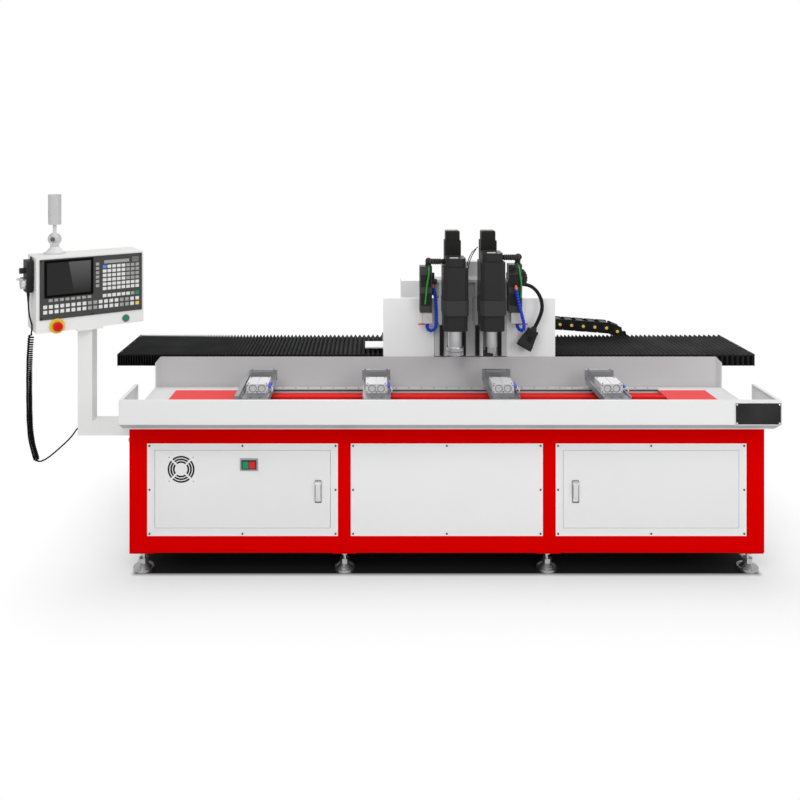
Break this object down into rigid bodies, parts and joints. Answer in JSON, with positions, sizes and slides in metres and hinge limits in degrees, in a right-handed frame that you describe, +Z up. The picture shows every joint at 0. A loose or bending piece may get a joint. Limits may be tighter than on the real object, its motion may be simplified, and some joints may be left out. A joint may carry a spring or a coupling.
{
  "type": "cnc thermal drilling machine",
  "caption": "Long bench-type CNC thermal drilling machine with a red frame, white panels, a travelling column with two spindles, pneumatic clamps and a swivelled control box.",
  "frame": {"origin": "on the floor under the centre of the cabinet", "axes": "+X along the machine to the right seen from the front, +Y to the back, +Z up"},
  "size_m": [3.4397, 1.16, 1.659],
  "materials": {
    "red_paint": "semi-gloss",
    "white_powder": "satin",
    "black_anodised": "satin",
    "dark_paint": "satin",
    "steel": "brushed",
    "dark_steel": "machined",
    "aluminium_part": "satin",
    "brass_nut": "machined",
    "grey_plastic": "matte",
    "black_plastic": "matte",
    "light_grey_paint": "satin",
    "panel_film": "matte",
    "bellows_fabric": "matte",
    "cord_rubber": "matte",
    "blue_plastic": "gloss",
    "red_plastic": "gloss",
    "green_plastic": "gloss",
    "rubber_pad": "matte"
  },
  "bodies": {
    "base": {"base_frame": "red_paint", "levelling_feet": "steel", "side_panels": "white_powder", "front_sheets": "white_powder", "panel_screws": "dark_steel", "trough": "white_powder", "bed_plates": "red_paint", "linear_rails": "steel", "x_beam": "dark_paint", "bellows_left": "bellows_fabric", "bellows_right": "bellows_fabric", "arm_tube": "light_grey_paint", "control_box": "light_grey_paint", "control_panel": "panel_film", "lamp_base": "light_grey_paint", "pendant_body": "black_plastic", "pendant_cord": "cord_rubber", "cable_chain_lower": "black_plastic"},
    "saddle": {"saddle_plate": "dark_paint", "saddle_covers": "white_powder", "cable_chain_upper": "black_plastic"},
    "x_nut_body": {"x_nut": "brass_nut"},
    "chain_bend": {"cable_chain_bend": "black_plastic"},
    "column": {"saddle_column": "light_grey_paint", "z_rails": "dark_steel", "z_motors": "black_anodised", "coolant_valves": "black_anodised", "coolant_hoses": "blue_plastic", "conduits": "cord_rubber", "tool_cable": "cord_rubber", "tool_plug": "black_plastic"},
    "head_left_body": {"head_left": "black_anodised"},
    "head_right_body": {"head_right": "black_anodised"},
    "chuck_left_body": {"chuck_left": "steel"},
    "chuck_right_body": {"chuck_right": "steel"},
    "valve_lever_left_body": {"valve_lever_left": "red_plastic"},
    "valve_lever_right_body": {"valve_lever_right": "red_plastic"},
    "clamp_1": {"clamp_base_1": "aluminium_part"},
    "jaw_1": {"clamp_jaw_1": "aluminium_part"},
    "clamp_2": {"clamp_base_2": "aluminium_part"},
    "jaw_2": {"clamp_jaw_2": "aluminium_part"},
    "clamp_3": {"clamp_base_3": "aluminium_part"},
    "jaw_3": {"clamp_jaw_3": "aluminium_part"},
    "clamp_4": {"clamp_base_4": "aluminium_part"},
    "jaw_4": {"clamp_jaw_4": "aluminium_part"},
    "door_left_body": {"door_left": "white_powder", "fan_housing": "black_plastic", "switch_plate": "grey_plastic"},
    "door_right_body": {"door_right": "white_powder"},
    "lock_lever_left_body": {"lock_lever_left": "dark_steel"},
    "lock_lever_right_body": {"lock_lever_right": "dark_steel"},
    "fan_rotor_body": {"fan_rotor": "black_plastic"},
    "switch_button_on_body": {"switch_button_on": "green_plastic"},
    "switch_button_off_body": {"switch_button_off": "red_plastic"},
    "estop_body": {"estop_button": "red_plastic"},
    "start_body": {"start_button": "green_plastic"},
    "lamp_elbow_body": {"lamp_elbow": "light_grey_paint"},
    "lamp_head_body": {"lamp_head": "light_grey_paint"},
    "pendant_dial_body": {"pendant_dial": "aluminium_part"},
    "pendant_knob_body": {"pendant_knob": "black_plastic"}
  },
  "joints": [
    {"name": "saddle_slide", "type": "slide", "parent": "base", "child": "saddle", "axis": [1, 0, 0], "range_m": [-0.82, 0.62], "deforming": ["bellows_left", "bellows_right", "cable_chain_upper", "cable_chain_lower"]},
    {"name": "nut_spin", "type": "hinge", "parent": "saddle", "child": "x_nut_body", "pos_m": [0.1535, 0.247, 0.8], "axis": [1, 0, 0], "range_deg": [-9300, 7050]},
    {"name": "chain_bend_slide", "type": "slide", "parent": "saddle", "child": "chain_bend", "axis": [1, 0, 0], "range_m": [-0.32, 0.42]},
    {"name": "column_cross_slide", "type": "slide", "parent": "saddle", "child": "column", "axis": [0, 1, 0], "range_m": [-0.1, 0]},
    {"name": "head_left_slide", "type": "slide", "parent": "column", "child": "head_left_body", "axis": [0, 0, 1], "range_m": [-0.045, 0.075], "deforming": ["conduits"]},
    {"name": "head_right_slide", "type": "slide", "parent": "column", "child": "head_right_body", "axis": [0, 0, 1], "range_m": [-0.07, 0.05], "deforming": ["conduits"]},
    {"name": "chuck_left_spin", "type": "hinge", "parent": "head_left_body", "child": "chuck_left_body", "pos_m": [0.07, -0.12, 0.9], "axis": [0, 0, 1], "continuous": true},
    {"name": "chuck_right_spin", "type": "hinge", "parent": "head_right_body", "child": "chuck_right_body", "pos_m": [0.245, -0.12, 0.9], "axis": [0, 0, 1], "continuous": true},
    {"name": "valve_lever_left_hinge", "type": "hinge", "parent": "column", "child": "valve_lever_left_body", "pos_m": [-0.073, -0.035, 1.007], "axis": [0, 0, 1], "range_deg": [0, 90]},
    {"name": "valve_lever_right_hinge", "type": "hinge", "parent": "column", "child": "valve_lever_right_body", "pos_m": [0.394, -0.035, 1.007], "axis": [0, 0, -1], "range_deg": [0, 90]},
    {"name": "clamp_1_slide", "type": "slide", "parent": "base", "child": "clamp_1", "axis": [1, 0, 0], "range_m": [0, 0.3]},
    {"name": "jaw_1_slide", "type": "slide", "parent": "clamp_1", "child": "jaw_1", "axis": [0, 1, 0], "range_m": [-0.05, 0.068]},
    {"name": "clamp_2_slide", "type": "slide", "parent": "base", "child": "clamp_2", "axis": [1, 0, 0], "range_m": [-0.1, 0.2]},
    {"name": "jaw_2_slide", "type": "slide", "parent": "clamp_2", "child": "jaw_2", "axis": [0, 1, 0], "range_m": [-0.05, 0.068]},
    {"name": "clamp_3_slide", "type": "slide", "parent": "base", "child": "clamp_3", "axis": [1, 0, 0], "range_m": [-0.2, 0.15]},
    {"name": "jaw_3_slide", "type": "slide", "parent": "clamp_3", "child": "jaw_3", "axis": [0, 1, 0], "range_m": [-0.05, 0.068]},
    {"name": "clamp_4_slide", "type": "slide", "parent": "base", "child": "clamp_4", "axis": [1, 0, 0], "range_m": [-0.15, 0.19]},
    {"name": "jaw_4_slide", "type": "slide", "parent": "clamp_4", "child": "jaw_4", "axis": [0, 1, 0], "range_m": [-0.05, 0.068]},
    {"name": "door_left_hinge", "type": "hinge", "parent": "base", "child": "door_left_body", "pos_m": [-1.2695, -0.446, 0.3765], "axis": [0, 0, -1], "range_deg": [0, 110]},
    {"name": "door_right_hinge", "type": "hinge", "parent": "base", "child": "door_right_body", "pos_m": [1.2695, -0.446, 0.3765], "axis": [0, 0, 1], "range_deg": [0, 110]},
    {"name": "lock_lever_left_hinge", "type": "hinge", "parent": "door_left_body", "child": "lock_lever_left_body", "pos_m": [-0.562, -0.4568, 0.405], "axis": [-1, 0, 0], "range_deg": [0, 40]},
    {"name": "lock_lever_right_hinge", "type": "hinge", "parent": "door_right_body", "child": "lock_lever_right_body", "pos_m": [0.562, -0.4568, 0.405], "axis": [-1, 0, 0], "range_deg": [0, 40]},
    {"name": "fan_spin", "type": "hinge", "parent": "door_left_body", "child": "fan_rotor_body", "pos_m": [-1.161, -0.43, 0.463], "axis": [0, 1, 0], "continuous": true},
    {"name": "switch_button_on_press", "type": "slide", "parent": "door_left_body", "child": "switch_button_on_body", "axis": [0, 1, 0], "range_m": [0, 0.004], "stiffness_N_per_m": 400},
    {"name": "switch_button_off_press", "type": "slide", "parent": "door_left_body", "child": "switch_button_off_body", "axis": [0, 1, 0], "range_m": [0, 0.004], "stiffness_N_per_m": 400},
    {"name": "estop_press", "type": "slide", "parent": "base", "child": "estop_body", "axis": [-0.5505, 0.8348, 0], "range_m": [0, 0.006], "stiffness_N_per_m": 1000},
    {"name": "start_press", "type": "slide", "parent": "base", "child": "start_body", "axis": [-0.5505, 0.8348, 0], "range_m": [0, 0.004], "stiffness_N_per_m": 500},
    {"name": "lamp_swivel", "type": "hinge", "parent": "base", "child": "lamp_elbow_body", "pos_m": [-1.74598, -0.3663, 1.43], "axis": [0, 0, 1], "range_deg": [-170, 170]},
    {"name": "lamp_tilt", "type": "hinge", "parent": "lamp_elbow_body", "child": "lamp_head_body", "pos_m": [-1.74598, -0.3663, 1.553], "axis": [-0.5505, 0.8348, 0], "range_deg": [-90, 90]},
    {"name": "pendant_dial_spin", "type": "hinge", "parent": "base", "child": "pendant_dial_body", "pos_m": [-1.82409, -0.48308, 1.284], "axis": [-0.8348, -0.5505, 0], "continuous": true},
    {"name": "pendant_knob_turn", "type": "hinge", "parent": "base", "child": "pendant_knob_body", "pos_m": [-1.82409, -0.48308, 1.337], "axis": [-0.8348, -0.5505, 0], "range_deg": [-135, 135]}
  ],
  "couplings": [
    {"joint": "nut_spin", "follows": "saddle_slide", "rad_per_m": 196.35},
    {"joint": "chain_bend_slide", "follows": "saddle_slide", "ratio": -0.5}
  ]
}
